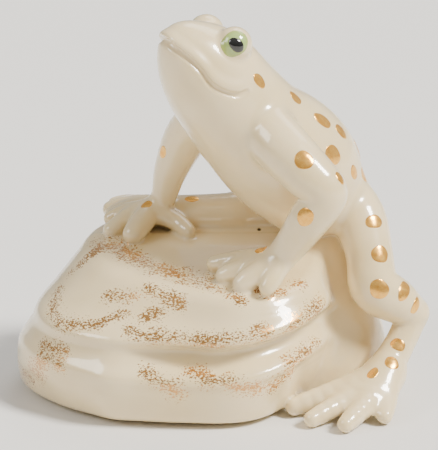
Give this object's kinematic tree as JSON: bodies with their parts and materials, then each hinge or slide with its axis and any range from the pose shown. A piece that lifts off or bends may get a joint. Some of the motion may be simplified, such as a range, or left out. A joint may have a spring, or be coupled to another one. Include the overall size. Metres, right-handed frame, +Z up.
{
  "type": "porcelain frog figurine",
  "caption": "Glazed ivory porcelain frog with fired gold spots and painted green eyes, climbing over a rounded rock that stands on a flat underside.",
  "frame": {"origin": "on the flat underside of the rock, in the middle of its footprint", "axes": "+Z up from the surface the rock stands on; -Y is the displayed front; the frog's snout points towards -X and a little towards -Y"},
  "size_m": [0.0999, 0.0626, 0.0941],
  "materials": {
    "ivory_glaze": "clear gloss glaze over warm ivory porcelain",
    "ivory_glaze_rock": "clear gloss glaze over warm ivory porcelain, sponged with fine gold flecks along the ledges",
    "green_enamel": "pale green fired enamel, gloss",
    "black_enamel": "black fired enamel, gloss",
    "fired_gold": "bright fired liquid gold, mirror polished by the glaze beneath"
  },
  "bodies": {
    "root": {"rock_base": "ivory_glaze_rock", "torso": "ivory_glaze", "left_foreleg": "ivory_glaze", "right_foreleg": "ivory_glaze", "left_hind_leg": "ivory_glaze", "left_hind_foot": "ivory_glaze", "right_hind_leg": "ivory_glaze", "right_hind_foot": "ivory_glaze", "left_iris": "green_enamel", "right_iris": "green_enamel", "left_pupil": "black_enamel", "right_pupil": "black_enamel", "torso_gold_spots": "fired_gold", "left_foreleg_gold_spots": "fired_gold", "right_foreleg_gold_spots": "fired_gold", "left_hind_leg_gold_spots": "fired_gold", "left_hind_foot_gold_spots": "fired_gold", "right_hind_leg_gold_spots": "fired_gold"}
  },
  "joints": []
}
